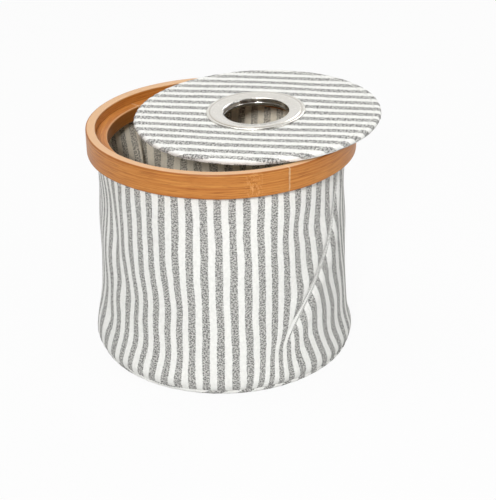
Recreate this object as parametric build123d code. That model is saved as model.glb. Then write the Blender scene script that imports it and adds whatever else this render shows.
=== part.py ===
from build123d import *
import os

# Yarn dispenser: a round canvas bag on a stiff base, a bamboo rim of two bent hoops that clamp
# the bag's hem, and a loose cloth-covered lid with a metal eyelet that the yarn runs through.
# Millimetres, +Z up. The origin is the centre of the base, on the surface it stands on.
# The front is -Y, and the lid lies on the rim as it is left while yarn is being drawn out:
# pushed off centre towards +X and a little towards the back, its free side tipped into the rim.

# Overall
bag_h = 145.0  # from the surface to the rim's top edge
rim_d = 165.0  # outside diameter of the rim

# Bamboo rim
outer_hoop_t = 5.8  # wall of the outer hoop
outer_hoop_h = 15.0  # height of the outer hoop
ledge_drop = 6.0  # how far the ledge lies below the rim's top edge
ledge_w = 7.1  # width of the ledge that the closed lid lies on
inner_hoop_h = 9.0  # height of the inner hoop
hem_lip = 2.0  # wood left above the hem's pocket in the inner hoop
hoop_bevel = 0.9  # bevel along the hoops' edges
butt_gap = 0.25  # open line where the two ends of a bent hoop meet
outer_butt_deg = -63.0  # that line on the outer hoop, seen right of the front
inner_butt_deg = 140.0  # and on the inner hoop, kept well away from it
glue_line = 0.15  # between the hem or inner hoop and what it is glued to

# Canvas bag
canvas_t = 0.7  # thickness of the striped canvas, the same cloth all over
layer_gap = 0.2  # between the outer canvas and the lining
hem_clear = 0.3  # from the clamped hem down to the free wall
knee_z = 50.0  # height where the straight wall starts to flare
base_flare = 4.7  # how much wider the base is than the hem, in radius
belly_out = 1.6  # how far the wall bulges beyond the base
belly_z = 8.0  # height of the bulge
base_seam_z = 3.0  # height of the seam between base and wall
base_roll = 2.0  # width of the soft corner where the base cloth turns up to the seam
base_board_t = 2.5  # stiffening board in the base

# Lid
lid_play = 1.0  # play of the closed lid in the rim, in radius
lid_board_t = 1.9  # stiffening board in the lid
stitch_in = 4.5  # row of stitches, in from the lid's edge
stitch_clear = 0.8  # from the stitches in to the board
lid_edge_r = 1.3  # rounding of the lid's upper edge
soft_runs = 2  # straight runs that this rounding is drawn in
lid_hem_bevel = 0.4  # soft corner of its lower edge
lid_shift = 23.4  # how far the lid lies off the rim's centre
lid_shift_deg = 17.4  # and which way, from +X towards +Y
lid_tip_deg = 2.0  # how far it is tipped over the rim, its free side down
lid_rest_gap = 0.3  # between the lid's soft underside and the rim where it rests

# Eyelet
eye_d = 40.0  # clear bore for the yarn
flange_d = 61.0  # outside diameter of the face flange
flange_h = 2.2  # height of the flange above the cloth
lip_w = 1.2  # flat lip round the flange
shoulder_w = 2.0  # width of the slope from the lip up to the flange's flat crown
throat_r = 1.6  # bend from the flange into the barrel
sheet_t = 0.6  # metal sheet of face and washer
curl_r = 1.1  # roll that closes the barrel over the washer
outside_runs = 3  # straight runs that the outside of a bend is drawn in
inside_runs = 2  # and its inside, which is shorter
washer_d = 57.0  # outside diameter of the back washer
washer_stand = 0.3  # how far the washer stands off the cloth inside its turned-up rim
eye_clear = 0.3  # cut edges of cloth, board and washer round the barrel

# Heights and radii that follow
rim_r = rim_d / 2
rebate_r = rim_r - outer_hoop_t
ledge_z = bag_h - ledge_drop
outer_low_z = bag_h - outer_hoop_h
inner_low_z = ledge_z - inner_hoop_h
hem_t = 2 * canvas_t + layer_gap
hem_r = rebate_r - glue_line
hem_low_z = min(outer_low_z, inner_low_z)
hem_high_z = ledge_z - hem_lip - glue_line
wall_high_z = hem_low_z - hem_clear
base_r = hem_r + base_flare
board_low_z = canvas_t
board_high_z = board_low_z + base_board_t
lid_r = rebate_r - lid_play
lid_low_z = bag_h + lid_rest_gap
lid_board_z = lid_low_z + canvas_t
lid_top_sheet_z = lid_board_z + lid_board_t
lid_high_z = lid_top_sheet_z + canvas_t
lid_board_r = lid_r - stitch_in - stitch_clear
eye_r = eye_d / 2
eye_hole_r = eye_r + sheet_t + eye_clear
rim_crest_r = rebate_r + hoop_bevel
# The loose lid rests on the two places where its edge crosses the rim's crest. This is how far
# the line through them lies from the rim's centre, and the lid is tipped about it.
rest_line = (lid_shift**2 + rim_crest_r**2 - lid_r**2) / (2 * lid_shift)
lid_place = (
    Rot(0, 0, lid_shift_deg)
    * Pos(rest_line, 0, lid_low_z)
    * Rot(0, -lid_tip_deg, 0)
    * Pos(lid_shift - rest_line, 0, -lid_low_z)
)


def spun(*corners):
    """Turn a closed outline, drawn as (radius, height) corners, once round the upright axis."""
    return revolve(Plane.XZ * make_face(Polyline(*corners, close=True).edges()), Axis.Z)


def bend(centre, radius, start, sweep, runs):
    """Corners round a bend, which is drawn as a few straight runs."""
    arc = CenterArc(centre, radius, start, sweep)
    return [arc @ (i / runs) for i in range(runs + 1)]


def bevelled(corners, kept):
    """Closed outline with every corner bevelled but those named in kept."""
    face = make_face(Polyline(*corners, close=True).edges())
    sharp = [v for v in face.vertices() for r, z in kept if abs(v.X - r) + abs(v.Y - z) < glue_line]
    return chamfer([v for v in face.vertices() if v not in sharp], hoop_bevel)


def open_at(hoop, angle, low, high):
    """Cut the fine line where a bent hoop's two ends are butted together."""
    cut = Box(rim_d, butt_gap, high - low, align=(Align.MIN, Align.CENTER, Align.MIN))
    return hoop - Rot(0, 0, angle) * Pos(0, 0, low) * cut


def outer_hoop():
    """Outer bamboo hoop: a flat strip bent round, the edges that show bevelled all along."""
    corners = [(rebate_r, outer_low_z), (rim_r, outer_low_z), (rim_r, bag_h), (rebate_r, bag_h)]
    strip = revolve(Plane.XZ * bevelled(corners, corners[:1]), Axis.Z)
    return open_at(strip, outer_butt_deg, outer_low_z, bag_h)


def inner_hoop():
    """Inner bamboo hoop: its top is the lid's ledge, its outer face is cut back for the hem."""
    r_out = rebate_r - glue_line
    r_in = rebate_r - ledge_w
    r_pocket = hem_r - hem_t - glue_line
    lip_z = ledge_z - hem_lip
    corners = [
        (r_in, ledge_z),
        (r_in, inner_low_z),
        (r_pocket, inner_low_z),
        (r_pocket, lip_z),
        (r_out, lip_z),
        (r_out, ledge_z),
    ]
    strip = revolve(Plane.XZ * bevelled(corners, corners[2:]), Axis.Z)
    return open_at(strip, inner_butt_deg, inner_low_z, ledge_z)


def wall_hem():
    """Top edge of the bag, both layers together, glued in the pocket between the hoops."""
    r_in = hem_r - hem_t
    return spun((r_in, hem_low_z), (hem_r, hem_low_z), (hem_r, hem_high_z), (r_in, hem_high_z))


def cloth_tube(*line):
    """Tube of canvas whose outside follows line from its head down to its foot."""
    return spun(*line, *[(r - canvas_t, z) for r, z in reversed(line)])


def wall_canvas():
    """Outer wall: hangs straight from the rim, flares from the knee, drawn in at the base seam."""
    return cloth_tube(
        (hem_r, wall_high_z),
        (hem_r, knee_z),
        (base_r + belly_out, belly_z),
        (base_r, base_seam_z),
    )


def wall_lining():
    """Inner wall of the same cloth, just inside the outer one, down to the top of the base board."""
    inset = canvas_t + layer_gap
    return cloth_tube((hem_r - inset, wall_high_z), (hem_r - inset, knee_z), (base_r - inset, board_high_z))


def base_canvas():
    """Bottom cloth: a disc whose edge turns up round a soft corner to meet the wall's seam."""
    flat_r = base_r - base_roll
    side_r = base_r - canvas_t
    return spun(
        (0, canvas_t),
        (0, 0),
        (flat_r, 0),
        (base_r, base_seam_z),
        (side_r, base_seam_z),
        (flat_r, canvas_t),
    )


def disc(radius, low, thick):
    """Flat disc round the upright axis."""
    return Pos(0, 0, low) * Cylinder(radius, thick, align=(Align.CENTER, Align.CENTER, Align.MIN))


def base_board():
    """Stiff board that keeps the base flat and round."""
    return disc(base_r - base_roll, board_low_z, base_board_t)


def base_lining():
    """Inner cloth disc on the board, just inside the lining's wall."""
    return disc(base_r - 2 * (canvas_t + layer_gap) - layer_gap, board_high_z, canvas_t)


def lid_top_cloth():
    """Lid's upper cloth: flat over the board, thick where its edge is turned in and stitched."""
    turned_r = lid_board_r + eye_clear
    edge = (lid_r - lid_edge_r, lid_high_z - lid_edge_r)
    return lid_place * spun(
        (eye_hole_r, lid_top_sheet_z),
        (eye_hole_r, lid_high_z),
        *bend(edge, lid_edge_r, 90, -90, soft_runs),
        (lid_r, lid_board_z),
        (turned_r, lid_board_z),
        (turned_r, lid_top_sheet_z),
    )


def lid_board():
    """Stiff board inside the lid, holed for the eyelet."""
    hole = disc(eye_hole_r, lid_board_z, lid_board_t)
    return lid_place * (disc(lid_board_r, lid_board_z, lid_board_t) - hole)


def lid_under_cloth():
    """Lid's lower cloth, seamed to the upper one round the edge."""
    return lid_place * spun(
        (eye_hole_r, lid_low_z),
        (lid_r - lid_hem_bevel, lid_low_z),
        (lid_r, lid_low_z + lid_hem_bevel),
        (lid_r, lid_board_z),
        (eye_hole_r, lid_board_z),
    )


def eyelet_face():
    """Pressed face of the eyelet: flat lip, shoulder, crown, throat, barrel and rolled end."""
    lip_r = flange_d / 2
    lip_z = lid_high_z + sheet_t
    shoulder_r = lip_r - lip_w - shoulder_w
    crown_z = lid_high_z + flange_h
    throat = (eye_r + throat_r, crown_z - throat_r)
    roll = (eye_r + curl_r, lid_low_z - sheet_t - washer_stand)
    return lid_place * spun(
        (lip_r, lid_high_z),
        (lip_r, lip_z),
        (lip_r - lip_w, lip_z),
        (shoulder_r, crown_z),
        *bend(throat, throat_r, 90, 90, outside_runs),
        *bend(roll, curl_r, 180, 180, outside_runs),
        *bend(roll, curl_r - sheet_t, 0, -180, inside_runs),
        *bend(throat, throat_r - sheet_t, 180, -90, inside_runs),
        (shoulder_r, crown_z - sheet_t),
        (lip_r - lip_w, lid_high_z),
    )


def eyelet_washer():
    """Back washer: a ring held by the face's rolled end, its rim turned up against the cloth."""
    r_out = washer_d / 2
    high = lid_low_z - washer_stand
    return lid_place * spun(
        (eye_hole_r, high),
        (r_out - sheet_t, high),
        (r_out - sheet_t, lid_low_z),
        (r_out, lid_low_z),
        (r_out, high - sheet_t),
        (eye_hole_r, high - sheet_t),
    )


pieces = [
    outer_hoop,
    inner_hoop,
    wall_hem,
    wall_canvas,
    wall_lining,
    base_canvas,
    base_board,
    base_lining,
    lid_top_cloth,
    lid_board,
    lid_under_cloth,
    eyelet_face,
    eyelet_washer,
]

os.makedirs("parts", exist_ok=True)
for make in pieces:
    export_step(make(), f"parts/{make.__name__}.step")
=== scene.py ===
"""Looks of a yarn dispenser bag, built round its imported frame.

The bag is a tube of striped, yarn-dyed canvas with a lining of the same cloth, sewn to a stiff
base and clamped at the top between two bent bamboo hoops. Its lid is a cloth-covered board with
a nickel-plated eyelet in the middle, left lying across the rim. Lengths here are in millimetres
and angles in degrees, counted from the front (-Y) towards the right (+X).
"""

import math
import random
from functools import partial

import bmesh
import bpy
import numpy as np
from mathutils import Matrix, Vector


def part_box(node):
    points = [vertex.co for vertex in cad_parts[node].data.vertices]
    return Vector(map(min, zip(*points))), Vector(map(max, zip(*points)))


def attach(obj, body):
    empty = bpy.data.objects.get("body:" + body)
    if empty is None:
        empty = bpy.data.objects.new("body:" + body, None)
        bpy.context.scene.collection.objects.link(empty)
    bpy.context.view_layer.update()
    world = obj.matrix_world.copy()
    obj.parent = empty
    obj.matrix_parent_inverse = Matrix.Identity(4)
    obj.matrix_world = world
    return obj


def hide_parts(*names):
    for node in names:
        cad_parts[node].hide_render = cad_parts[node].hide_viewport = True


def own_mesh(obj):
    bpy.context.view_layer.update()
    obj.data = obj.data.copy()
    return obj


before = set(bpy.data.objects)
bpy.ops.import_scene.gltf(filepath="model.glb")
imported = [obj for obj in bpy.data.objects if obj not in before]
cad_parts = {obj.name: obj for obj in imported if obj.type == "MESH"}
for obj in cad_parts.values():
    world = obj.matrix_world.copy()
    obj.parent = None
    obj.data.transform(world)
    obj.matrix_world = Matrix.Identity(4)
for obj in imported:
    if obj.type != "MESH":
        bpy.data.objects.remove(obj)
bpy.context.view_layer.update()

bl_info = {
    "name": "Yarn Dispenser Bag",
    "version": (1, 0, 0),
    "blender": (4, 5, 0),
    "location": "3D View > Sidebar > Yarn Bag",
    "description": "Dresses the packed frame of a striped canvas yarn bag in cloth, bamboo and nickel",
    "category": "Object",
}

MM = 0.001


def linear(code):
    """An sRGB hex value as the linear colour that Blender works in."""
    parts = [int(code[i : i + 2], 16) / 255 for i in (1, 3, 5)]
    return tuple(c / 12.92 if c <= 0.04045 else ((c + 0.055) / 1.055) ** 2.4 for c in parts) + (1.0,)


def extent(node):
    """A frame piece's lowest and highest corner, in millimetres."""
    return [np.array(corner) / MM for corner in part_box(node)]


# ---- sizes read from the frame

RIM_LOW, RIM_HIGH = extent("outer_hoop")
LEDGE_LOW, LEDGE_HIGH = extent("inner_hoop")
HEM_LOW, HEM_HIGH = extent("wall_hem")
WALL_HIGH, BOARD_HIGH = extent("wall_canvas")[1], extent("base_board")[1]

RIM_R = RIM_HIGH[0]
REBATE_R = LEDGE_HIGH[0] + 0.15
HEM_R = HEM_HIGH[0]
# the wall's foot at the base seam, and its radius half-way up
WALL_FOOT, WALL_R = 3.1, 77.3
# where the two ends of each hoop's strip meet
OUTER_BUTT, INNER_BUTT = 28.4, 230.0

# the lid and its eyelet, as they are before the lid is laid across the rim
LID_R = REBATE_R - 1.0
LID_LOW = RIM_HIGH[2] + 0.3
LID_TOP = LID_LOW + 3.3
STITCH_R = LID_R - 4.5
FLANGE_R, WASHER_R = 30.4, 28.5
GROOVE_R = FLANGE_R - 2.0

# it is pushed off centre and tipped about the line between the two places where its edge
# crosses the rim's crest
LID_SHIFT, LID_WAY, LID_TIP = 23.4, 17.4, 2.0
CREST_R = REBATE_R + 0.9
REST_LINE = (LID_SHIFT**2 + CREST_R**2 - LID_R**2) / (2 * LID_SHIFT)


def shifted(x, z):
    """Move along the lid's way and up, in millimetres."""
    return Matrix.Translation(Vector((x, 0, z)) * MM)


def turned(angle, axis):
    """Turn about an axis, in degrees."""
    return Matrix.Rotation(math.radians(angle), 4, axis)


LID_PLACE = (
    turned(LID_WAY, "Z")
    @ shifted(REST_LINE, LID_LOW)
    @ turned(-LID_TIP, "Y")
    @ shifted(LID_SHIFT - REST_LINE, -LID_LOW)
    @ turned(-LID_WAY, "Z")
)


# ---- settings that a user would change


def tint(name, description, code):
    """A colour setting that starts from an sRGB hex value."""
    return bpy.props.FloatVectorProperty(
        name=name, description=description, size=4, subtype="COLOR", min=0, max=1, default=linear(code)
    )


class YarnBagCanvas(bpy.types.PropertyGroup):
    """Sizes and colours of the striped canvas."""

    stripe_pitch: bpy.props.FloatProperty(
        name="Stripe pitch", description="From one grey stripe to the next, in millimetres of cloth",
        default=9.4, min=2, max=40,
    )
    stripe_share: bpy.props.FloatProperty(
        name="Grey share", description="Share of the pitch that is grey",
        default=0.52, min=0.1, max=0.9, subtype="FACTOR",
    )
    thickness: bpy.props.FloatProperty(
        name="Cloth thickness", description="Thickness of the canvas, in millimetres", default=0.7, min=0.2, max=2
    )
    creases: bpy.props.FloatProperty(
        name="Creases", description="How deep the wall's folds are, 1 as on the real bag", default=1.0, min=0, max=2
    )
    undyed: tint("Undyed yarn", "Colour of the off-white stripes", "#EFEFEB")
    # the lining's pale stripes are painted creamier: a painted warm glow of light through the cloth
    lit_lining_yarn: tint("Lining yarn, painted glow", "Colour of the lining's pale stripes", "#F8EFDC")
    dark_fibre: tint("Dark fibre", "Darker fibres of the grey melange yarn", "#6F6F6D")
    pale_fibre: tint("Pale fibre", "Paler fibres of the grey melange yarn", "#CCCBC7")
    thread: tint("Thread", "Colour of the sewing thread", "#E9E8E3")
    stitch_length: bpy.props.FloatProperty(
        name="Stitch length", description="Length of the lid's topstitches, in millimetres", default=3.0, min=1, max=8
    )


class YarnBagBamboo(bpy.types.PropertyGroup):
    """Sizes and colours of the bamboo hoops."""

    edge: bpy.props.FloatProperty(
        name="Edge rounding", description="Rounding along the hoops' edges, in millimetres",
        default=1.0, min=0.2, max=2,
    )
    knuckle: bpy.props.FloatProperty(
        name="Knuckle", description="Where the strip's knuckle lies, in degrees right of the front",
        default=13.5, min=-180, max=180,
    )
    dark: tint("Dark fibre", "Darkest streaks of the bamboo", "#8C4A14")
    body: tint("Body", "Main colour of the bamboo", "#AE6423")
    pale: tint("Pale fibre", "Palest streaks of the bamboo", "#D08F44")
    # the colour of the painted reflection on the strips' top faces and their inner edges
    painted_light: tint("Painted reflection", "Colour of the strip's sanded edges", "#DDB48A")


class YarnBagEyelet(bpy.types.PropertyGroup):
    """Sizes and colour of the eyelet."""

    bore: bpy.props.FloatProperty(
        name="Bore", description="Clear bore for the yarn, in millimetres", default=40.0, min=5, max=45
    )
    throat: bpy.props.FloatProperty(
        name="Throat", description="Bend from the flange into the barrel, in millimetres", default=1.3, min=0.7, max=2
    )
    plate: tint("Plating", "Colour of the nickel plate", "#DEDBD4")
    roughness: bpy.props.FloatProperty(
        name="Roughness", description="Roughness of the polished plate", default=0.2, min=0, max=1, subtype="FACTOR"
    )


class YarnBagStage(bpy.types.PropertyGroup):
    """Light, floor and camera."""

    floor: tint("Floor", "Colour of the floor", "#CFCFCF")
    sky: bpy.props.FloatProperty(
        name="Sky", description="Strength of the even light from all round", default=0.35, min=0, max=2
    )
    key: bpy.props.FloatProperty(
        name="Key light", description="Power of the lamp at the front", default=11.7, min=0, max=50, unit="POWER"
    )
    pitch: bpy.props.FloatProperty(
        name="Camera pitch", description="How far the camera looks down", default=math.radians(26.8), unit="ROTATION"
    )
    reach: bpy.props.FloatProperty(
        name="Camera distance", description="From the camera to the middle of the view",
        default=0.8318, min=0.2, max=3, unit="LENGTH",
    )


# ---- small maker's tools


def add(tree, kind, inputs=(), out=0, **settings):
    """Add a shader node and return one of its outputs, or the node itself if out is None.

    inputs, by place or by name, are values or the sockets that feed them.
    """
    made = tree.nodes.new("ShaderNode" + kind)
    for name, value in settings.items():
        setattr(made, name, value)
    for socket, value in inputs.items() if isinstance(inputs, dict) else enumerate(inputs):
        if isinstance(value, bpy.types.NodeSocket):
            tree.links.new(value, made.inputs[socket])
        else:
            made.inputs[socket].default_value = value
    return made if out is None else made.outputs[out]


def emptied(owner):
    """Clear the nodes of a material or a world, and return what adds new ones to it."""
    owner.use_nodes = True
    owner.node_tree.nodes.clear()
    return partial(add, owner.node_tree)


def finish(name):
    """The material of this name, which FINISHES says how to make when it is first asked for."""
    made = bpy.data.materials.get(name)
    if not made:
        made = bpy.data.materials.new(name)
        node = emptied(made)
        node("OutputMaterial", (node("BsdfPrincipled", FINISHES[name](node)),), out=None)
    return made


def through(knots, at):
    """Smooth curve through (place, value) knots, read at some places."""
    place, value = np.array(sorted(knots), float).T
    slope = np.gradient(value, place)
    i = np.clip(np.searchsorted(place, at) - 1, 0, len(place) - 2)
    wide = place[i + 1] - place[i]
    t = np.clip((at - place[i]) / wide, 0, 1)
    rise = value[i] * (1 + 2 * t) + slope[i] * wide * t
    fall = value[i + 1] * (3 - 2 * t) - slope[i + 1] * wide * (1 - t)
    return rise * (1 - t) ** 2 + fall * t**2


def step(low, high, at):
    """0 below low, 1 above high, and a smooth rise between."""
    t = np.clip((at - low) / (high - low), 0, 1)
    return t * t * (3 - 2 * t)


def swell(at, middle, width):
    """Smooth bump, 1 at its middle."""
    return np.exp(-(((at - middle) / width) ** 2))


def softened(corners, steps=5, hold=0.15):
    """Closed outline through (r, z, rounding) corners, with its corners rounded off."""
    outline = []
    for before, corner, after in zip(corners[-1:] + corners[:-1], corners, corners[1:] + corners[:1]):
        here, cut = np.array(corner[:2], float), corner[2]
        back = np.array(before[:2], float) - here
        on = np.array(after[:2], float) - here
        back, on = back / np.linalg.norm(back), on / np.linalg.norm(on)
        outline.append(here + back * (cut + hold))
        for t in np.linspace(0, 1, steps):
            outline.append(here + back * cut * (1 - t) ** 2 + on * cut * t**2)
        outline.append(here + on * (cut + hold))
    return np.array(outline)


def run_length(outline, closed=True):
    """Distance along an outline at each of its points, and once more at its end if it is closed."""
    points = np.vstack([outline, outline[:1]]) if closed else outline
    return np.concatenate([[0], np.cumsum(np.linalg.norm(np.diff(points, axis=0), axis=1))])


def polar(angle, radius, height):
    """Points at an angle from the front, a radius from the upright axis and a height."""
    a = np.radians(angle)
    return np.stack(np.broadcast_arrays(radius * np.sin(a), -radius * np.cos(a), height), -1)


def shaped(r, z, offsets):
    """Outline points, each given by how far out and up it lies from (r, z)."""
    return [(r + out, z + up) for out, up in offsets]


def spread(across, down):
    """Places on the flat strip or cloth, for every pairing of those across it and down it."""
    return np.stack(np.broadcast_arrays(across, down), -1)


def meshed(name, points, faces, marks):
    """Smooth mesh piece of points in millimetres; marks hold each face corner's place in the UV map."""
    mesh = bpy.data.meshes.new(name)
    mesh.from_pydata((points * MM).tolist(), [], faces)
    mesh.uv_layers.new(name="cloth").data.foreach_set("uv", np.asarray(marks, np.float32).ravel())
    mesh.polygons.foreach_set("use_smooth", np.ones(len(mesh.polygons), bool))
    shell = bmesh.new()
    shell.from_mesh(mesh)
    bmesh.ops.recalc_face_normals(shell, faces=shell.faces)
    shell.to_mesh(mesh)
    shell.free()
    piece = bpy.data.objects.new(name, mesh)
    bpy.context.collection.objects.link(piece)
    return piece


def lofted(name, rings, marks):
    """Mesh piece through rings of points, which join round, and from last to first.

    marks hold each point's place on the strip or cloth in millimetres, with one more column than
    rings where a ring's end meets its start, and one more row. They become the UV map.
    """
    rows, around = rings.shape[:2]
    i, j = np.meshgrid(np.arange(rows), np.arange(around), indexing="ij")
    below, beside = (i + 1) % rows, (j + 1) % around
    quads = np.stack([i * around + j, i * around + beside, below * around + beside, below * around + j], -1)
    corners = np.stack([marks[i, j], marks[i, j + 1], marks[i + 1, j + 1], marks[i + 1, j]], 2)
    return meshed(name, rings.reshape(-1, 3), quads.reshape(-1, 4).tolist(), corners)


def note_points(piece, name, values):
    """Give each of a piece's points a value that its finish reads."""
    noted = piece.data.attributes.new(name, "FLOAT", "POINT")
    noted.data.foreach_set("value", values.astype(np.float32).ravel())


def dress(piece, name, body, slot, *nodes):
    """Give a piece its finish, the body it rides on and the frame pieces it stands for."""
    piece.data.materials.append(finish(name))
    if body == "lid":
        piece.data.transform(LID_PLACE)
    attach(piece, body)
    if nodes:
        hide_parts(*nodes)
    return piece


def cloth_layer(name, outer, inner, marks, cloth, body, node):
    """A layer of cloth, lofted down its outside and up its inside, and dressed.

    marks belong to the outside, which may have more rings at its foot than the inside.
    """
    rings = np.concatenate([outer, inner[::-1]])
    marks = np.concatenate([marks, marks[: len(inner)][::-1], marks[:1]])
    return dress(lofted(name, rings, marks), cloth, body, "striped_canvas", node)


# ---- finishes

# colours that are not settings: the lining's fibres, paler and warmer as a painted glow of light through
# the cloth, the pale flecks of a knuckle, the glue and chipped fibres in a butt line, the painted shade in
# the eyelet's groove and the two fibres of the board
LINING_DARK, LINING_PALE = linear("#8C867B"), linear("#E3DCCD")
KNUCKLE_FLECK, BUTT_GLUE = linear("#D89C5C"), linear("#EBCFA6")
GROOVE_PAINTED_SHADE = linear("#9C8E78")
BOARD_DARK, BOARD_PALE = linear("#857C70"), linear("#A89F92")


def striped_canvas(node, lining=False, lid=False):
    """Yarn-dyed cotton canvas, plain woven: grey melange stripes on off-white, with a dry, matt hand.

    The grey yarn is spun from dark and pale fibres, which gives the eye a fine salt-and-pepper
    speckle. Real yarns lie about 0.5 mm apart; speckle and weave are drawn at 0.9 mm, so that
    they show, and at 1.2 mm on the lid, which is seen at a flat angle. The lining is the same weave,
    painted creamier and with a paler grey: a painted warm glow of light through the cloth.
    """
    canvas = bpy.context.scene.yarn_bag_canvas
    # how wide a yarn is drawn, and how far the stripes' edges step in and out, in millimetres
    yarn, ragged = (1.2, 2.6) if lid else (0.9, 1.5)
    # the lining's creamier pale stripes and paler grey are a painted warm glow of light through the cloth
    undyed = canvas.lit_lining_yarn if lining else canvas.undyed
    dark = LINING_DARK if lining else canvas.dark_fibre
    pale = LINING_PALE if lining else canvas.pale_fibre
    place = node("UVMap", uv_map="cloth")
    across = node("SeparateXYZ", (place,))
    # noise patterns, by their cycles in a millimetre across and down the cloth, detail and roughness
    wander, teeth, fibres, slubs, warp, weft = (
        node("TexNoise", {
            "Vector": node("Mapping", {"Vector": place, "Scale": (wide, tall, 1)}),
            "Scale": 1.0, "Detail": detail, "Roughness": rough,
        })
        for wide, tall, detail, rough in (
            (0.2, 0.06, 2.0, 0.5),
            (0.9, 0.75, 2.0, 0.8),
            (0.75 / yarn, 1 / yarn, 2.0, 0.7),
            (0.45 / yarn, 0.3 / yarn, 3.0, 0.7),
            (1.1 / yarn, 0.25 / yarn, 1.0, 0.5),
            (0.25 / yarn, 1.1 / yarn, 1.0, 0.5),
        )
    )
    # stripe edges wander slowly, and step in and out by half a yarn
    slow = node("Math", (wander, 1.2, across), operation="MULTIPLY_ADD")
    quick = node("Math", (teeth, ragged, slow), operation="MULTIPLY_ADD")
    centred = node("Math", (quick, 0.6 + ragged / 2), operation="SUBTRACT")
    off_centre = node("Math", (centred, canvas.stripe_pitch / 2), operation="PINGPONG")
    half = canvas.stripe_pitch * canvas.stripe_share / 2
    grey = node("MapRange", (off_centre, half - 0.25, half + 0.25, 1.0, 0.0), interpolation_type="SMOOTHSTEP")
    # melange speckle of dark and pale fibres, and slubs that shade the undyed yarn
    speckle = node("MapRange", (fibres, 0.43, 0.57))
    melange = node("Mix", {0: speckle, 6: dark, 7: pale}, data_type="RGBA", out=2)
    ecru = node("Math", (fibres, 0.35, slubs), operation="MULTIPLY_ADD")
    shade = node("MapRange", (ecru, 0.45, 0.9, 0.9, 1.05))
    bare = node("VectorMath", {0: undyed[:3], 3: shade}, operation="SCALE")
    cloth = node("Mix", {0: grey, 6: bare, 7: melange}, data_type="RGBA", out=2)
    # plain weave: yarns lie over and under each other, no two quite alike
    weave = node("Math", (warp, weft), operation="ADD")
    hairy = node("Math", (fibres, 0.7, weave), operation="MULTIPLY_ADD")
    relief = node("Bump", {"Height": hairy, "Strength": 0.6, "Distance": 0.3 * MM})
    return {"Base Color": cloth, "Normal": relief, "Roughness": 0.92, "Specular IOR Level": 0.25,
            "Sheen Weight": 0.1, "Sheen Roughness": 0.5}


def lacquered_bamboo(node):
    """Carbonised bamboo strip, steamed, bent and clear lacquered: warm orange-brown, with long fibres.

    Fibre bundles are cut open along the strip, so the eye sees fine dark dashes that run round the
    hoop, a wavy knuckle and the soft shine of the lacquer. A painted reflection makes the top faces
    paler, painted shade darkens the inner faces and the lower outer edge, and the outer arris is
    darker. Real bundles are 0.2 to 0.4 mm wide; they are drawn up to 0.6 mm wide.
    """
    wood = bpy.context.scene.yarn_bag_bamboo
    place = node("UVMap", uv_map="cloth")
    along, across = node("SeparateXYZ", (place,), out=None).outputs[:2]
    # distance from the nearest knuckle: they lie half the strip apart
    strip = 2 * math.pi * RIM_R
    first = ((wood.knuckle - OUTER_BUTT) % 360) / 360 * strip
    from_first = node("Math", (along, first), operation="SUBTRACT")
    knuckle_gap = node("Math", (from_first, strip / 4), operation="PINGPONG")
    knuckle = node("MapRange", (knuckle_gap, 0.0, 7.0, 1.0, 0.0), interpolation_type="SMOOTHSTEP")
    ripple = node("TexNoise", {"Vector": place, "Scale": 0.55, "Detail": 3.0})
    swing = node("Math", (ripple, 0.5), operation="SUBTRACT")
    swung = node("Math", (swing, knuckle), operation="MULTIPLY")
    bent = node("Math", (swung, 5.0, across), operation="MULTIPLY_ADD")
    fibre_place = node("CombineXYZ", (along, bent, 0.0))
    # long streaks and short bundles, by their cycles in a millimetre, detail and roughness, and the
    # flecks of a knuckle, which lie across the strip
    streaks, bundles, flecks = (
        node("TexNoise", {
            "Vector": node("Mapping", {"Vector": laid, "Scale": (long, wide, 1)}),
            "Scale": 1.0, "Detail": detail, "Roughness": rough,
        })
        for laid, long, wide, detail, rough in (
            (fibre_place, 0.014, 0.9, 5.0, 0.65),
            (fibre_place, 0.07, 1.5, 3.0, 0.6),
            (place, 0.9, 0.35, 2.0, 0.5),
        )
    )
    tone = node("MapRange", (streaks, 0.32, 0.68))
    body = node("Mix", {0: tone, 6: wood.body, 7: wood.pale}, data_type="RGBA", out=2)
    dashes = node("MapRange", {0: bundles, 1: 0.5, 2: 0.66, 4: 0.6}, interpolation_type="SMOOTHSTEP")
    fibrous = node("Mix", {0: dashes, 6: body, 7: wood.dark}, data_type="RGBA", out=2)
    # the knuckle itself: pale flecks where the fibres cross
    fleck = node("MapRange", (flecks, 0.48, 0.66))
    crossing = node("Math", (fleck, knuckle), operation="MULTIPLY")
    flecked = node("Mix", {0: crossing, 6: fibrous, 7: KNUCKLE_FLECK}, data_type="RGBA", out=2)
    # painted light: a painted reflection makes the top faces paler, and painted shade darkens the inner
    # faces and the lower outer edge; the outer arris is darker
    faces = node("Attribute", attribute_name="painted_light", out="Fac")
    pale = node("MapRange", {0: faces, 1: 0.0, 2: 1.0, 4: 0.95})
    painted_light = node("Mix", {0: pale, 6: flecked, 7: wood.painted_light}, data_type="RGBA", out=2)
    dark = node("MapRange", (faces, 0.0, -1.0))
    arris = node("Mix", {0: dark, 6: painted_light, 7: wood.dark}, data_type="RGBA", out=2)
    # glue and chipped fibres show pale along the line where the strip's ends meet
    butt = node("Math", (along, strip / 2), operation="PINGPONG")
    ragged = node("Math", (flecks, 1.3, butt), operation="MULTIPLY_ADD")
    line = node("MapRange", (ragged, 0.75, 1.25, 0.6, 0.0))
    joined = node("Mix", {0: line, 6: arris, 7: BUTT_GLUE}, data_type="RGBA", out=2)
    relief = node("Bump", {"Height": bundles, "Strength": 0.25, "Distance": 0.15 * MM})
    matt = node("MapRange", (streaks, 0.3, 0.7, 0.42, 0.55))
    return {"Base Color": joined, "Roughness": matt, "Normal": relief, "Specular IOR Level": 0.3,
            "Coat Weight": 0.15, "Coat Roughness": 0.25}


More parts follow.
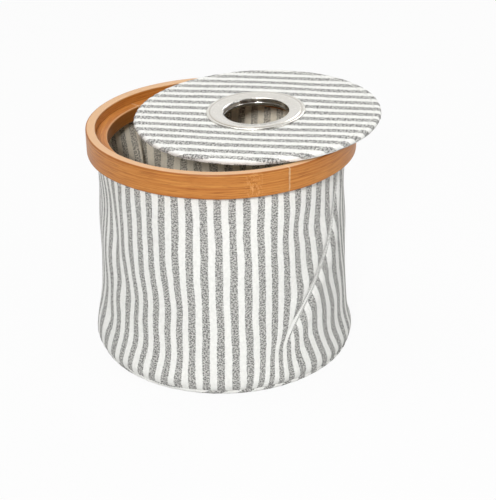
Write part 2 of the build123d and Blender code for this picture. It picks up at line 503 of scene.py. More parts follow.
def nickel_plate(node):
    """Brass pressed to shape and nickel plated: bright, faintly warm, with the press's fine rings."""
    metal = bpy.context.scene.yarn_bag_eyelet
    place = node("UVMap", uv_map="cloth")
    # tool rings run round the eyelet, about 0.3 mm apart
    drawn_out = node("Mapping", {"Vector": place, "Scale": (0.01, 3.0, 1)})
    rings = node("TexNoise", {"Vector": drawn_out, "Scale": 1.0, "Detail": 3.0})
    rub = node("TexNoise", {"Vector": place, "Scale": 0.25, "Detail": 5.0, "Roughness": 0.7})
    worn = node("MapRange", (rub, 0.3, 0.7, metal.roughness - 0.05, metal.roughness + 0.09))
    tone = node("MapRange", (rub, 0.3, 0.7, 0.96, 1.03))
    plate = node("VectorMath", {0: metal.plate[:3], 3: tone}, operation="SCALE")
    # painted shade darkens the groove inside the rim
    groove_shade = node("Attribute", attribute_name="groove", out="Fac")
    plated_and_shaded = node("Mix", {0: groove_shade, 6: plate, 7: GROOVE_PAINTED_SHADE}, data_type="RGBA", out=2)
    relief = node("Bump", {"Height": rings, "Strength": 0.12, "Distance": 0.05 * MM})
    return {"Base Color": plated_and_shaded, "Roughness": worn, "Normal": relief, "Metallic": 1.0}


def cotton_thread(node):
    """Mercerised cotton sewing thread: off-white, twisted, with a slight silky shine."""
    place = node("UVMap", uv_map="cloth")
    along, around = node("SeparateXYZ", (place,), out=None).outputs[:2]
    # two plies, one turn in 1.2 mm
    turn = node("Math", (along, 2 * math.pi / 1.2), operation="MULTIPLY")
    twist = node("Math", (around, 4.2, turn), operation="MULTIPLY_ADD")
    plies = node("Math", (twist,), operation="SINE")
    tone = node("MapRange", (plies, -1.0, 1.0, 0.86, 1.0))
    yarn = bpy.context.scene.yarn_bag_canvas.thread[:3]
    colour = node("VectorMath", {0: yarn, 3: tone}, operation="SCALE")
    relief = node("Bump", {"Height": plies, "Strength": 0.5, "Distance": 0.08 * MM})
    return {"Base Color": colour, "Normal": relief, "Roughness": 0.6, "Sheen Weight": 0.2}


def greyboard(node):
    """Pressed greyboard of waste paper: matt, grey-brown, with flecks of fibre and a laid grain."""
    place = node("TexCoord", out="Object")
    # flecks of 0.5 mm and clouds of 8 mm
    flecks = node("TexNoise", {"Vector": place, "Scale": 2000.0, "Detail": 2.0})
    clouds = node("TexNoise", {"Vector": place, "Scale": 125.0, "Detail": 3.0})
    mixed = node("Math", (flecks, clouds), operation="MULTIPLY")
    tone = node("MapRange", (mixed, 0.15, 0.4))
    colour = node("Mix", {0: tone, 6: BOARD_DARK, 7: BOARD_PALE}, data_type="RGBA", out=2)
    relief = node("Bump", {"Height": flecks, "Strength": 0.3, "Distance": 0.05 * MM})
    return {"Base Color": colour, "Normal": relief, "Roughness": 0.9}


FINISHES = {
    "Yarn_Dyed_Canvas": striped_canvas,
    "Yarn_Dyed_Canvas_Lid": partial(striped_canvas, lid=True),
    "Canvas_Lining_Painted_Glow": partial(striped_canvas, lining=True),
    "Lacquered_Bamboo": lacquered_bamboo,
    "Polished_Nickel": nickel_plate,
    "Mercerised_Thread": cotton_thread,
    "Pressed_Greyboard": greyboard,
}


def finish_board(node):
    """Put greyboard on one of the frame's own boards."""
    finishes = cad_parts[node].data.materials
    finishes.clear()
    finishes.append(finish("Pressed_Greyboard"))


# ---- the bag's cloth


def tuck_side(angle, height):
    """Distance in millimetres from the slanting tuck in the wall, positive to its right."""
    line = 65 - 33 * (np.clip(120 - height, 0, None) / 85) ** 1.25 + 0.5 * np.sin(height / 9)
    lean = through([(0, 0.52), (50, 0.5), (90, 0.38), (120, 0.12), (130, 0.05)], height)
    return (angle - line) * math.radians(1) * WALL_R / np.hypot(1, lean * 1.35)


def wall_radius(angle, height):
    """Radius of the outer canvas's outside, with the folds that it hangs in."""
    depth = bpy.context.scene.yarn_bag_canvas.creases
    a = np.radians(angle)
    body = through(
        [(WALL_FOOT, 81.1), (4.5, 81.9), (8, 82.7), (12, 82.1), (17, 80.9), (34, 78.4), (58, 77.2), (84, 77.4),
         (108, 76.2), (HEM_LOW[2], HEM_R - 0.1)],
        height,
    )
    free = step(3, 22, height) * (1 - 0.75 * step(112, 129, height))
    lobes = 0.55 * np.sin(5 * a + 0.7 + height / 31) + 0.35 * np.sin(9 * a - height / 23 + 2.1)
    lobes += 0.22 * np.sin(14 * a + height / 15 + 0.4)
    # the bulge over the base is fuller on the left
    heavy = -1.2 * np.sin(a) * swell(height, 19, 13)
    # fine puckers where the cloth is eased into the hoops and into the base seam
    eased = 0.28 * np.sin(45 * a + 2 * np.sin(7 * a)) * step(108, 130, height) ** 2
    eased += 0.22 * np.sin(58 * a + 1.5 * np.sin(5 * a)) * step(16, 3, height) ** 2
    # the slanting tuck: a sharp crease, a finer one beside it and a soft roll on each side
    side = tuck_side(angle, height)
    held = step(14, 44, height) * (1 - 0.45 * step(100, 129, height))
    tuck = -0.8 * swell(side, -1.1, 0.9) - 0.55 * swell(side, 1.7, 0.9) + 0.25 * swell(side, 0.3, 0.9)
    tuck += 0.9 * swell(side, 7.5, 4.5) + 0.55 * swell(side, -5.5, 4)
    # pinches at the left
    pinch = -1.0 * swell(angle, -56, 3.2) * swell(height, 88, 15) + 0.7 * swell(angle, -63, 4) * swell(height, 84, 20)
    pinch += -1.1 * swell(angle, -64, 3.2) * swell(height, 27, 7) + 0.6 * swell(angle, -70, 4) * swell(height, 30, 12)
    # the side seam, sewn from inside, at the back
    seam = -0.9 * swell(np.abs(angle), 180, 0.8) + 0.3 * swell(np.abs(angle), 176, 2.0)
    return body + depth * (free * lobes + heavy + eased + held * tuck + pinch + seam)


def wall_marks(angle, height, pitch):
    """Where each point of the wall lies on the flat cloth: across its stripes and down them."""
    plain = (angle + 1.1) / 6.32 + 0.2 * swell(angle, 40, 16) - 0.15 * swell(angle, -52, 12)
    # the stripes lean and sway where the cloth hangs out of true
    sway = through([(0, -0.1), (25, 0.1), (40, 0.45), (50, -0.1), (60, -0.5), (70, -0.25), (80, 0.05), (90, 0.35),
                    (98, 0.6), (105, 0.45), (113, 0.1), (130, 0)], height)
    lean = through([(0, -0.05), (12, 0.1), (26, 0.32), (40, 0.2), (55, 0.33), (72, 0.1), (95, 0), (130, 0)], height)
    left = plain + 0.5 * sway * swell(angle, 41, 12) - lean * step(-12, -30, angle)
    # it is drawn together at the upper left and eased out below
    drawn = np.clip((-50 - angle) / 20, 0, 1.5) * (1 - 0.7 * step(-100, -165, angle))
    left += -1.1 * drawn * swell(height, 97, 24) + 0.3 * drawn**2 * swell(height, 20, 14)
    left += 0.25 * swell(angle, -56, 5) * swell(height, 47, 10)
    extra = through([(0, 0.9), (12, 1.0), (28, 1.42), (40, 1.5), (60, 2.15), (82, 2.75), (130, 2.85)], height)
    calm = 1 - 0.7 * step(100, 170, angle)
    right = plain + 2.0 + (extra - 2.0) * calm - 0.028 * calm * np.clip(angle - 57, 0, 40) * swell(height, 55, 24)
    right += 0.07 * np.sin(height / 7 + angle / 5)
    # between the two lies one pale stripe, folded along the tuck
    side = tuck_side(angle, height)
    fold = 5.5 + 0.1 * side + 0.12 * np.sin(height / 9)
    creased = left + (fold - left) * step(-1.0, -0.5, side) + (right - fold) * step(0.6, 1.6, side)
    merged = left + (right - left) * step(-14, 14, side)
    across = merged + (creased - merged) * step(24, 42, height)
    # short waves that pressing left in the cloth
    waves = 0.022 * np.sin(height / 8.5 + angle / 7) + 0.016 * np.sin(height / 4.3 - angle / 3.7)
    waves += 0.1 * np.sin(height / 8 + angle / 9 + 0.6) * swell(angle, -72, 16)
    return np.stack([(across + waves) * pitch, height + 0.6 * np.sin(np.radians(angle) * 6)], -1)


def seam_columns(count, start=-180.0, fine=()):
    """Angles round a ring from its seam at start, finer near it, and the same with the seam at both ends."""
    inside = np.linspace(0, 360, count + 1)[1:-1]
    offsets = np.unique(np.concatenate([[0.0], fine, 360 - np.array(fine), inside]))
    columns = start + offsets[offsets < 360]
    return columns, np.append(columns, columns[0] + 360)


class YARN_BAG_OT_wall(bpy.types.Operator):
    """Build the bag's outer canvas and its lining, hung from the rim"""

    bl_idname = "yarn_bag.wall"
    bl_label = "Canvas Wall and Lining"

    def execute(self, context):
        canvas = context.scene.yarn_bag_canvas
        pitch = canvas.stripe_pitch
        columns, ends = seam_columns(720, fine=(0.25, 0.75))
        top, foot = WALL_HIGH[2], WALL_FOOT
        tall = np.concatenate([np.linspace(top, 12, 118), np.linspace(11, foot, 12)])[:, None]
        radius = wall_radius(columns, tall)
        # the foot turns in to the seam
        turn_in = polar(columns, wall_radius(columns, foot) - 0.45, foot - 0.28)
        outer = np.concatenate([polar(columns, radius, tall), turn_in[None]])
        inner = polar(columns, radius - canvas.thickness, tall)
        marks = wall_marks(ends, np.append(tall, foot - 0.6)[:, None], pitch)
        wall = cloth_layer("wall_cloth", outer, inner, marks, "Yarn_Dyed_Canvas", "bag", "wall_canvas")

        low = BOARD_HIGH[2] + 0.1
        tall = np.linspace(top, low, 100)[:, None]
        columns, ends = seam_columns(480, fine=(0.4,))
        loose = canvas.thickness + 0.25
        hang = step(0, 30, top - tall) * step(low, 30, tall)
        a = np.radians(columns)
        # it hangs a little straighter than the outer cloth and folds inwards at the back left
        inward = 0.9 * hang * (1 + 0.5 * np.sin(6 * a + tall / 25) + 0.4 * np.sin(11 * a - tall / 18))
        fold = through([(-142, 0), (-134, 0.2), (-130.5, 4.4), (-126, 3.6), (-114, 0.8), (-100, 0)], columns)
        inward = inward + fold * hang
        radius = np.minimum(wall_radius(columns, tall), through([(0, 81.3), (20, 80.4), (34, 78.6), (130, 78.6)], tall))
        outside = radius - loose - inward
        outer = polar(columns, outside, tall)
        inner = polar(columns, outside - canvas.thickness, tall)
        # counted from the back, the stripes are a little wider at the left
        from_back = 174 - (ends % 360)
        across = np.where(from_back > 0, from_back / 7.05, from_back / 7.8) + 0.5
        waves = 0.06 * np.sin(tall / 9 + ends / 8)
        marks = spread((across + waves) * pitch, tall)
        weave = "Canvas_Lining_Painted_Glow"
        lining = cloth_layer("wall_lining_cloth", outer, inner, marks, weave, "bag", "wall_lining")
        # each layer gets a mesh of its own
        for piece in (wall, lining):
            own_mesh(piece)
        return {"FINISHED"}


class YARN_BAG_OT_base(bpy.types.Operator):
    """Build the base: its bottom cloth, turned up to the seam, and the lining over its board"""

    bl_idname = "yarn_bag.base"
    bl_label = "Base Cloths"

    def execute(self, context):
        t = context.scene.yarn_bag_canvas.thickness
        columns, ends = seam_columns(480)
        flat_r = WALL_HIGH[0] - 3.8
        # from the middle of the underside out, round the soft corner and up to the seam
        middle = (0.01, 20, 45, 65, 74)
        corner = ((0, 0), (0.9, 0.22), (1.6, 0.85), (1.95, 1.6), (1.95, 2.3), (1.5, 2.85))
        inner_corner = ((0, t), (0.5, t + 0.1), (0.95, t + 0.5), (1.2, 1.75), (1.2, 2.3), (0.9, 2.7))
        under = np.array([(r, 0) for r in middle] + shaped(flat_r, 0, corner))
        inside = np.array([(r, t) for r in middle] + shaped(flat_r, 0, inner_corner))
        pucker = 0.12 * np.sin(np.radians(columns) * 58)
        grown = step(75, flat_r + 1, under[:, :1])
        outer = polar(columns, under[:, :1] + pucker * grown, under[:, 1:])
        inner = polar(columns, inside[:, :1] + pucker * grown, inside[:, 1:])
        out = run_length(under, closed=False)[:, None]
        flat = polar(ends - 63, out, 0)[..., :2]
        base = cloth_layer("base_cloth", outer, inner, flat, "Yarn_Dyed_Canvas", "bag", "base_canvas")

        low = BOARD_HIGH[2] + 0.05
        r = np.array([0.01, 15, 30, 45, 60, 70, 76, 78.2, 78.7])[:, None]
        a = np.radians(columns)
        rise = 0.35 * step(78, 60, r) * (0.5 + 0.5 * np.sin(3 * a + r / 17)) * step(0, 12, r)
        upper = polar(columns, r, low + t + rise)
        lower = polar(columns, r, low)
        flat = polar(ends, r, 0)[..., :2]
        weave = "Canvas_Lining_Painted_Glow"
        floor = cloth_layer("base_lining_cloth", upper, lower, flat, weave, "bag", "base_lining")
        finish_board("base_board")
        return {"FINISHED"}


class YARN_BAG_OT_hem(bpy.types.Operator):
    """Build the hem that is glued between the two hoops"""

    bl_idname = "yarn_bag.hem"
    bl_label = "Clamped Hem"

    def execute(self, context):
        canvas = context.scene.yarn_bag_canvas
        columns, ends = seam_columns(480)
        heights = np.array([HEM_HIGH[2], (HEM_HIGH[2] + HEM_LOW[2]) / 2, HEM_LOW[2]])[:, None]
        inside_r = HEM_R - 2 * canvas.thickness - 0.2
        outer, inner = polar(columns, HEM_R, heights), polar(columns, inside_r, heights)
        marks = wall_marks(ends, heights, canvas.stripe_pitch)
        cloth_layer("hem_cloth", outer, inner, marks, "Yarn_Dyed_Canvas", "rim", "wall_hem")
        return {"FINISHED"}


# ---- bamboo rim


def bent_strip(name, corners, butt, step_out, bends, faces):
    """A bamboo strip bent round to a hoop, with the fine open line where its two ends meet.

    bends and faces give the painted light on each corner and the face after it: up to 1 for a painted
    reflection, down to -1 for painted shade and for the darker outer arris.
    """
    outline = softened(corners)
    shade = np.concatenate([[faces[k - 1]] * 2 + [bends[k]] * 3 + [faces[k]] * 2 for k in range(len(corners))])
    columns, _ = seam_columns(420, start=butt, fine=(0.07, 0.16, 0.4))
    turn = columns - butt
    a = np.radians(columns)
    # bent by hand: not quite round, and one end stands a little proud of the other
    wobble = 0.12 * np.sin(2 * a + 0.5) + 0.07 * np.sin(5 * a) + 0.04 * np.sin(11 * a + 1)
    proud = step_out * (np.exp(-turn / 8) - 0.6 * np.exp(-(360 - turn) / 8))
    slit = np.where(np.minimum(turn, 360 - turn) < 0.1, 0.45, 0.0)
    middle = outline.mean(0)
    r, z = outline[:, :1], outline[:, 1:]
    inward = np.sign(middle[0] - r) * slit
    flat = np.sign(middle[1] - z) * slit * (np.abs(z - middle[1]) > 0.45 * np.ptp(z))
    rings = polar(columns, r + wobble + proud + inward, z + flat + 0.03 * np.sin(7 * a))
    far = np.append(turn, 360) / 360 * 2 * math.pi * RIM_R
    hoop = lofted(name, rings, spread(far, run_length(outline)[:, None]))
    note_points(hoop, "painted_light", np.repeat(shade, len(columns)))
    return hoop


class YARN_BAG_OT_rim(bpy.types.Operator):
    """Build the rim's two bamboo hoops"""

    bl_idname = "yarn_bag.rim"
    bl_label = "Bamboo Rim"

    def execute(self, context):
        wood = context.scene.yarn_bag_bamboo
        low, high, soft = RIM_LOW[2], RIM_HIGH[2], wood.edge
        corners = [(REBATE_R, high, soft), (REBATE_R, low, 0.5), (RIM_R, low, soft), (RIM_R, high, soft)]
        # painted reflection on top and inner edge; painted shade on rebate wall and lower edge; darker arris
        outer = bent_strip(
            "outer_hoop_bamboo", corners, OUTER_BUTT, 0.12, bends=(1.0, 0.0, -0.3, -0.6), faces=(-0.15, 0.0, 0.0, 0.9)
        )
        dress(outer, "Lacquered_Bamboo", "rim", "bamboo", "outer_hoop")

        ledge, foot = LEDGE_HIGH[2], LEDGE_LOW[2]
        # it holds the hem in a pocket under the lip that reaches out to the outer hoop
        mouth_r, lip_r, lip = REBATE_R - 7.1, REBATE_R - 0.15, ledge - 2
        pocket_r = HEM_R - 2 * context.scene.yarn_bag_canvas.thickness - 0.35
        corners = [(mouth_r, ledge, soft), (mouth_r, foot, soft), (pocket_r, foot, 0.3), (pocket_r, lip, 0.2),
                   (lip_r, lip, 0.2), (lip_r, ledge, 0.2)]
        # painted reflection on the inner wall's top edge; painted shade on the inner wall, the lip and the ledge
        inner = bent_strip(
            "inner_hoop_bamboo", corners, INNER_BUTT, 0.08,
            bends=(0.35, 0.0, 0.0, 0.0, 0.0, -0.3), faces=(-0.4, 0.0, 0.0, 0.0, -0.3, -0.1),
        )
        dress(inner, "Lacquered_Bamboo", "rim", "bamboo", "inner_hoop")
        return {"FINISHED"}


# ---- lid and eyelet

# outlines as steps out and up in millimetres, from the row of stitches, from the lid's edge, from the
# flange's edge, and from the bore, where the press leaves a bead low in the barrel
LID_DENT = ((-1.2, 0), (-0.6, -0.05), (-0.25, -0.2), (0, -0.26), (0.25, -0.2), (0.6, -0.04), (1.2, 0.02), (2.2, 0.02))
LID_EDGE = ((-1.4, -0.12), (-0.7, -0.4), (-0.25, -0.85), (-0.02, -1.4))
FLANGE_RIM = ((-0.3, 0.02), (-0.05, 0.25), (0, 0.5), (-0.2, 0.85), (-0.7, 1.05), (-1.3, 1.05), (-1.8, 0.92),
              (-2.1, 0.85))
FLANGE_FACE = ((-2.4, 0.95), (-3.0, 1.25), (-3.8, 1.35), (-5.0, 1.15), (-6.5, 0.8), (-8.2, 0.43))
BARREL_BEAD = ((0, 0.9), (-0.02, 0.75), (-0.2, 0.5), (-0.22, 0.35), (-0.1, 0.1), (0.1, 0), (0.6, -0.15), (0.8, -0.3))
# the eyelet was pressed in a little left of the lid's middle
EYELET_OFF = 0.9


def lid_marks(angle, out, turn, pitch):
    """Where a point of a lid cloth, out from its middle along the cloth, lies on the flat cloth."""
    right, back = np.moveaxis(polar(angle + turn, out, 0)[..., :2], -1, 0)
    across = (back + 0.225 * right - 0.9) / 9.5
    # shifted forwards at its front edge, so that grey lies over the edge's side as painted shade, and
    # stretched a little towards the back
    across += 0.22 * step(-5.2, -6.8, across)
    return np.stack([(across - 0.0063 * across**2) * pitch, right - 0.225 * back], -1)


def sag(angle, radius):
    """How far the lid's middle, bent by the weight of the eyelet, leans down at its front."""
    return -0.02 * radius * np.cos(np.radians(angle)) * (1 - step(32, 62, radius))


def lid_edge(angle, radius):
    """How far out in the lid's edge a point lies, from 0 to 1, and how uneven the edge is there."""
    edge, a = step(STITCH_R - 1, LID_R, radius), np.radians(angle)
    return edge, 0.3 * edge * (np.sin(3 * a + 1) + 0.6 * np.sin(7 * a) + 0.4 * np.sin(13 * a + 2)) / 2


def stitch_count(canvas):
    """How many stitches the row round the lid has."""
    return round(2 * math.pi * STITCH_R / canvas.stitch_length)


class YARN_BAG_OT_lid(bpy.types.Operator):
    """Build the lid's two cloths and finish the board between them"""

    bl_idname = "yarn_bag.lid"
    bl_label = "Lid Cloths"

    def execute(self, context):
        canvas = context.scene.yarn_bag_canvas
        cloth, t = "Yarn_Dyed_Canvas_Lid", canvas.thickness
        columns, ends = seam_columns(720)
        a = np.radians(columns)
        hole = context.scene.yarn_bag_eyelet.bore / 2 + 0.9
        top, foot, low, row = LID_TOP, LID_LOW + t, LID_LOW, STITCH_R
        # flat to the row of stitches, pressed down by them, and round the board's edge
        outline = np.array(
            [(r, top) for r in (hole, 26, 31, 36, 42, 48, 54, 60, 65, 68.5)]
            + shaped(row, top, LID_DENT)
            + shaped(LID_R, top, LID_EDGE)
            + shaped(LID_R, foot, ((0, 0.35), (-0.25, 0.05)))
        )
        r, z = outline[:, :1], outline[:, 1:]
        edge, uneven = lid_edge(columns, r)
        # the stitches draw the edge into faint scallops
        beat = stitch_count(canvas) / 2 * a
        scallop = 0.14 * np.sin(beat) * edge + uneven
        puff = 0.1 * swell(r, row + 1.6, 1.6) * np.sin(beat + 1)
        puff += 0.12 * step(30, 55, r) * np.sin(2 * a + 0.4) * step(76, 60, r) + sag(columns, r)
        outer = polar(columns, r + scallop, z + puff)
        inner_r = np.maximum(r - t * step(66, 74, r), hole) + scallop
        inner = polar(columns, inner_r, z - t + 0.35 * step(73.5, LID_R, r) + puff)
        out = hole + run_length(outline, closed=False)[:, None]
        flat = lid_marks(ends, out, 0, canvas.stripe_pitch)
        upper = cloth_layer("lid_top_canvas", outer, inner, flat, cloth, "lid", "lid_top_cloth")

        outline = np.array(
            [(r, low) for r in (hole, 24, 30, 40, 50, 60, 67)]
            + shaped(row, low, ((-1, 0), (-0.3, 0.16), (0, 0.22), (0.3, 0.16), (1, 0)))
            + shaped(LID_R, low, ((-1.0, 0), (-0.45, 0.22), (-0.2, 0.6)))
        )
        r, z = outline[:, :1], outline[:, 1:]
        edge, uneven = lid_edge(columns, r)
        z = z + sag(columns, r)
        outer = polar(columns, r + uneven, z)
        inner = polar(columns, r + uneven - t * step(72, 75, r), z + t - 0.4 * edge)
        out = hole + run_length(outline, closed=False)[:, None]
        flat = lid_marks(ends, out, -38, canvas.stripe_pitch)
        lower = cloth_layer("lid_under_canvas", outer, inner, flat, cloth, "lid", "lid_under_cloth")
        finish_board("lid_board")
        return {"FINISHED"}


class YARN_BAG_OT_stitches(bpy.types.Operator):
    """Sew the row of stitches round the lid"""

    bl_idname = "yarn_bag.stitches"
    bl_label = "Lid Stitches"

    def execute(self, context):
        random.seed(4)
        count, thick = stitch_count(context.scene.yarn_bag_canvas), 0.26
        sides, knots, wide, long = 8, 7, 0.2, 0.45
        t, turn = np.linspace(0, 1, knots)[:, None], 2 * np.pi * np.arange(sides) / sides
        fat, arch = thick * (0.7 + 0.3 * np.sin(np.pi * t)), np.sin(np.pi * t) ** 0.5 * 0.36 - 0.3
        # one stitch is a tube with two flat ends
        k, s = np.divmod(np.arange((knots - 1) * sides), sides)
        here, on, beside = k * sides, (k + 1) * sides, (s + 1) % sides
        tube = np.stack([here + s, here + beside, on + beside, on + s], -1).tolist()
        tube += [list(range(sides)), list(range((knots - 1) * sides, knots * sides))]
        corners = [spread((k + up) * long, (s + side) * wide) for up, side in ((0, 0), (0, 1), (1, 1), (1, 0))]
        laid = np.vstack([np.stack(corners, 1).reshape(-1, 2), np.zeros((2 * sides, 2))])
        points, faces = [], []
        for high, rise in ((LID_TOP - 0.16, 1), (LID_LOW + 0.16, -1)):
            for number in range(count):
                start = number * 360 / count + random.uniform(-0.1, 0.1)
                share = 0.83 + random.uniform(-0.04, 0.03)
                sway = random.uniform(-0.12, 0.12)
                first = len(points) * knots * sides
                faces += [[first + corner for corner in face] for face in tube]
                r = STITCH_R + sway * (t - 0.5) + fat * np.cos(turn)
                points.append(polar(start + 360 / count * share * t, r, high + arch * rise + fat * np.sin(turn)))
        marks = np.tile(laid, (len(points), 1))
        piece = meshed("lid_stitches", np.reshape(points, (-1, 3)), faces, marks)
        dress(piece, "Mercerised_Thread", "lid", "striped_canvas")
        return {"FINISHED"}


class YARN_BAG_OT_eyelet(bpy.types.Operator):
    """Press the eyelet's face and its back washer"""

    bl_idname = "yarn_bag.eyelet"
    bl_label = "Eyelet"

    def execute(self, context):
        metal = context.scene.yarn_bag_eyelet
        columns, ends = seam_columns(360)
        bore, throat, sheet = metal.bore / 2 + 0.45, metal.throat, 0.45
        seat, low = LID_TOP, LID_LOW
        edge_r, edge_z = bore + throat, seat - 0.1
        roll_r, roll_z, curl = bore + 1.9, low - 0.9, 1.1

        def bend(r, z, radius, start, sweep, steps=9, tall=1.0):
            angles = np.radians(start + sweep * np.linspace(0, 1, steps))
            return [(r + radius * math.cos(x), z + radius * tall * math.sin(x)) for x in angles]

        # the rim, the groove inside it, the face and the barrel, whose foot is rolled over the back washer
        face = shaped(FLANGE_R, seat, FLANGE_FACE)
        outline = np.array(
            shaped(FLANGE_R, seat, FLANGE_RIM) + face
            + bend(edge_r, edge_z, throat, 75, 105, tall=0.4)
            + shaped(bore, low, BARREL_BEAD)
            + bend(roll_r, roll_z, curl, 180, 180)
            + bend(roll_r, roll_z, curl - sheet, 0, -180)
            + shaped(bore, low, ((1.2, 0.3), (0.8, 0.7), (sheet, 0.9)))
            + bend(edge_r, edge_z - 0.1, throat - sheet, 180, -105, tall=0.25)
            + shaped(-0.15, -sheet, reversed(face))
            + shaped(FLANGE_R, seat, ((-2.2, 0.3), (-1.3, 0.02)))
        )
        for name, shape, node in (
            ("eyelet_face_nickel", outline, "eyelet_face"),
            ("eyelet_washer_nickel", self.washer(bore + 1.4), "eyelet_washer"),
        ):
            rings = polar(columns, shape[:, :1], shape[:, 1:])
            rings[..., 2] += sag(columns, shape[:, :1])
            rings[..., 0] -= EYELET_OFF
            far = np.radians(ends + 180) * FLANGE_R
            piece = lofted(name, rings, spread(far, run_length(shape)[:, None]))
            # painted shade lies in the groove, most of it at the front left
            depth = swell(shape[:, :1], GROOVE_R, 0.4) * (shape[:, 1:] > seat + 0.6)
            note_points(piece, "groove", depth * (0.3 + 0.7 * swell(columns, -25, 40)))
            dress(piece, "Polished_Nickel", "lid", "eyelet_metal", node)
        return {"FINISHED"}

    def washer(self, hole):
        """Outline of the back washer, whose rim turns up to the cloth."""
        high, sheet = LID_LOW - 0.3, 0.6
        line = [(hole, high - sheet, 0.1), (WASHER_R, high - sheet, 0.4), (WASHER_R, LID_LOW - 0.02, 0.15),
                (WASHER_R - sheet, LID_LOW - 0.02, 0.15), (WASHER_R - sheet - 0.3, high, 0.1), (hole, high, 0.1)]
        return softened(line, hold=0.1)


# ---- stage


# each lamp's name, place and size in metres, and its share of the key light's power
LAMPS = (
    ("front", (-0.22, -1.23, 0.79), 0.2, 1.0),
    ("right", (1.1, -0.6, 0.85), 0.8, 0.34),
    ("top", (-0.3, 0.1, 1.5), 0.8, 0.6),
    ("back", (0.75, 1.0, 1.1), 0.8, 0.35),
)
LAMP_AIM = Vector((0, 0, 0.09))
FLOOR_HALF = 6
FLOOR_GLOW = 0.94
WHITE = (1, 1, 1, 1)

# the camera's lens and sensor in millimetres, its roll, and the point in metres that it looks at
LENS, SENSOR, ROLL = 93.6, 36.0, -0.77
VIEW_MIDDLE = (0.0154, 0, 0.0569)


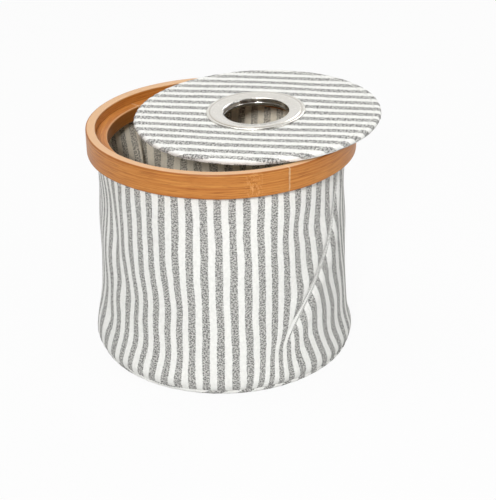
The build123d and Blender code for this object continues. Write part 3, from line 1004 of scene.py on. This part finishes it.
class YARN_BAG_OT_stage(bpy.types.Operator):
    """Set up the pale floor, the soft studio light and the camera"""

    bl_idname = "yarn_bag.stage"
    bl_label = "Floor, Light and Camera"

    def execute(self, context):
        context.scene.view_settings.view_transform = "Standard"
        for task in (self.lay_floor, self.light_room, self.hang_lamps, self.aim_camera):
            task(context.scene, context.scene.yarn_bag_stage)
        return {"FINISHED"}

    def lay_floor(self, scene, stage):
        mesh, half = bpy.data.meshes.new("studio_floor"), FLOOR_HALF
        mesh.from_pydata([(-half, -half, 0), (half, -half, 0), (half, half, 0), (-half, half, 0)], [], [(0, 1, 2, 3)])
        floor = bpy.data.objects.new("studio_floor", mesh)
        scene.collection.objects.link(floor)
        # painted studio floor: white to the eye, but still darkened by the bag's shadow
        made = bpy.data.materials.new("Painted_Floor")
        node = emptied(made)
        paint = node("BsdfDiffuse", {"Color": stage.floor})
        glow = node("Emission", {"Color": WHITE, "Strength": 1.0})
        ray = node("LightPath", out=None).outputs
        seen = node("Math", (ray["Is Camera Ray"], ray["Is Glossy Ray"]), operation="MAXIMUM")
        bright = node("Math", (seen, FLOOR_GLOW), operation="MULTIPLY")
        both = node("MixShader", (bright, paint, glow))
        node("OutputMaterial", {"Surface": both}, out=None)
        floor.data.materials.append(made)

    def light_room(self, scene, stage):
        scene.world = bpy.data.worlds.new("Studio")
        node = emptied(scene.world)
        ray = node("LightPath", out=None).outputs
        direct = node("Math", (ray["Is Camera Ray"], ray["Is Transmission Ray"]), operation="MAXIMUM")
        seen = node("Math", (direct, ray["Is Glossy Ray"]), operation="MAXIMUM")
        plain = node("Background", {"Color": WHITE, "Strength": stage.sky})
        # polished metal mirrors a white wall behind the bag and a dim room in front of it
        way = node("SeparateXYZ", (node("TexCoord", out="Generated"),), out="Y")
        room = node("MapRange", (way, 0.0, 0.55, 0.2, 1.0))
        shown = node("Math", (direct, room), operation="MAXIMUM")
        white = node("Background", {"Color": WHITE, "Strength": shown})
        both = node("MixShader", (seen, plain, white))
        node("OutputWorld", {"Surface": both}, out=None)

    def hang_lamps(self, scene, stage):
        for name, place, size, share in LAMPS:
            lamp = bpy.data.lights.new(name, "AREA")
            lamp.shape, lamp.size, lamp.energy = "DISK", size, stage.key * share
            made = bpy.data.objects.new(name, lamp)
            made.location = place
            made.rotation_euler = (LAMP_AIM - Vector(place)).to_track_quat("-Z", "Y").to_euler()
            scene.collection.objects.link(made)

    def aim_camera(self, scene, stage):
        camera = bpy.data.cameras.new("camera")
        camera.lens, camera.sensor_width, camera.sensor_fit = LENS, SENSOR, "AUTO"
        camera.clip_start = 0.01
        eye = bpy.data.objects.new("camera", camera)
        facing = turned(90 - math.degrees(stage.pitch), "X") @ turned(ROLL, "Z")
        eye.matrix_world = Matrix.Translation(VIEW_MIDDLE) @ facing @ Matrix.Translation((0, 0, stage.reach))
        scene.collection.objects.link(eye)
        scene.camera = eye


class YARN_BAG_PT_panel(bpy.types.Panel):
    """Lists the yarn bag's pieces and settings"""

    bl_idname = "YARN_BAG_PT_panel"
    bl_label = "Yarn Dispenser Bag"
    bl_space_type = "VIEW_3D"
    bl_region_type = "UI"
    bl_category = "Yarn Bag"

    def draw(self, context):
        for group, _, steps in SECTIONS:
            box = self.layout.box()
            settings = getattr(context.scene, group)
            for name in settings.__annotations__:
                box.prop(settings, name)
            for made in steps:
                box.operator(made.bl_idname)


# each group of settings, by its name on the scene, its class and the steps that use it
SECTIONS = (
    ("yarn_bag_canvas", YarnBagCanvas,
     (YARN_BAG_OT_wall, YARN_BAG_OT_base, YARN_BAG_OT_hem, YARN_BAG_OT_lid, YARN_BAG_OT_stitches)),
    ("yarn_bag_bamboo", YarnBagBamboo, (YARN_BAG_OT_rim,)),
    ("yarn_bag_eyelet", YarnBagEyelet, (YARN_BAG_OT_eyelet,)),
    ("yarn_bag_stage", YarnBagStage, (YARN_BAG_OT_stage,)),
)
CLASSES = [made for _, group, steps in SECTIONS for made in (group, *steps)] + [YARN_BAG_PT_panel]


def register():
    """Register the settings, operators and panel."""
    for made in CLASSES:
        bpy.utils.register_class(made)
    for name, group, _ in SECTIONS:
        setattr(bpy.types.Scene, name, bpy.props.PointerProperty(type=group))


def unregister():
    """Take them back."""
    for name, _, _ in SECTIONS:
        delattr(bpy.types.Scene, name)
    for made in reversed(CLASSES):
        bpy.utils.unregister_class(made)


def main():
    """Build the whole bag on its stage."""
    register()
    bpy.ops.yarn_bag.stage()
    bpy.ops.yarn_bag.hem()
    bpy.ops.yarn_bag.wall()
    bpy.ops.yarn_bag.base()
    bpy.ops.yarn_bag.rim()
    bpy.ops.yarn_bag.lid()
    bpy.ops.yarn_bag.stitches()
    bpy.ops.yarn_bag.eyelet()


if __name__ == "__main__":
    main()
